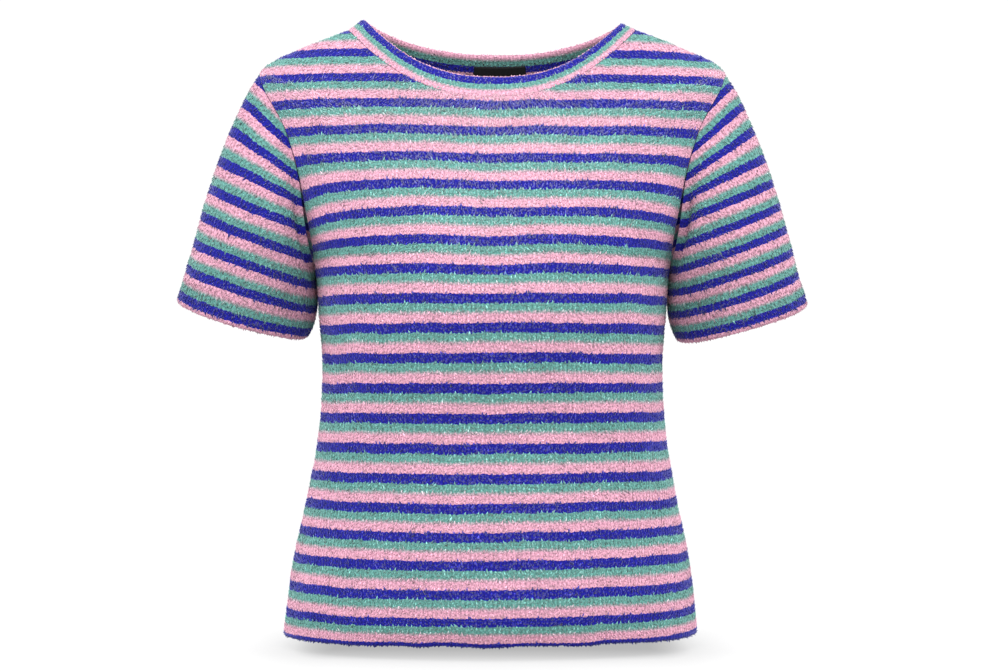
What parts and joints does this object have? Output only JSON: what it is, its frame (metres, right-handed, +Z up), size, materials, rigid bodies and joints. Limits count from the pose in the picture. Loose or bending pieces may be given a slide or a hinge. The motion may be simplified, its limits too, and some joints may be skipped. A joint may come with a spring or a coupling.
{
  "type": "short-sleeved knit jumper",
  "caption": "Fitted short-sleeved crew-neck jumper in striped crinkle knit, filled out as if worn, open at hem, neck and cuffs.",
  "frame": {"origin": "midway between the two shoulders, 20 mm under the neck ends of the shoulder seams, where the wearer carries the jumper", "axes": "+Z up, +X to the wearer's left, +Y to the back, so the front faces -Y"},
  "size_m": [0.5338, 0.231, 0.5199],
  "materials": {
    "front_knit": "matte crinkled pile knit with even stripes of blue, green and pink",
    "back_knit": "matte crinkled pile knit with even stripes of blue, green and pink",
    "sleeve_left_knit": "matte crinkled pile knit with even stripes of blue, green and pink",
    "sleeve_right_knit": "matte crinkled pile knit with even stripes of blue, green and pink",
    "neckband_knit": "the same knit, folded double, with a pink, a green and a blue stripe along it",
    "label": "plain black woven tape, bare"
  },
  "bodies": {
    "root": {"front": "front_knit", "back": "back_knit", "sleeve_left": "sleeve_left_knit", "sleeve_right": "sleeve_right_knit", "neckband": "neckband_knit", "label": "label"}
  },
  "joints": []
}
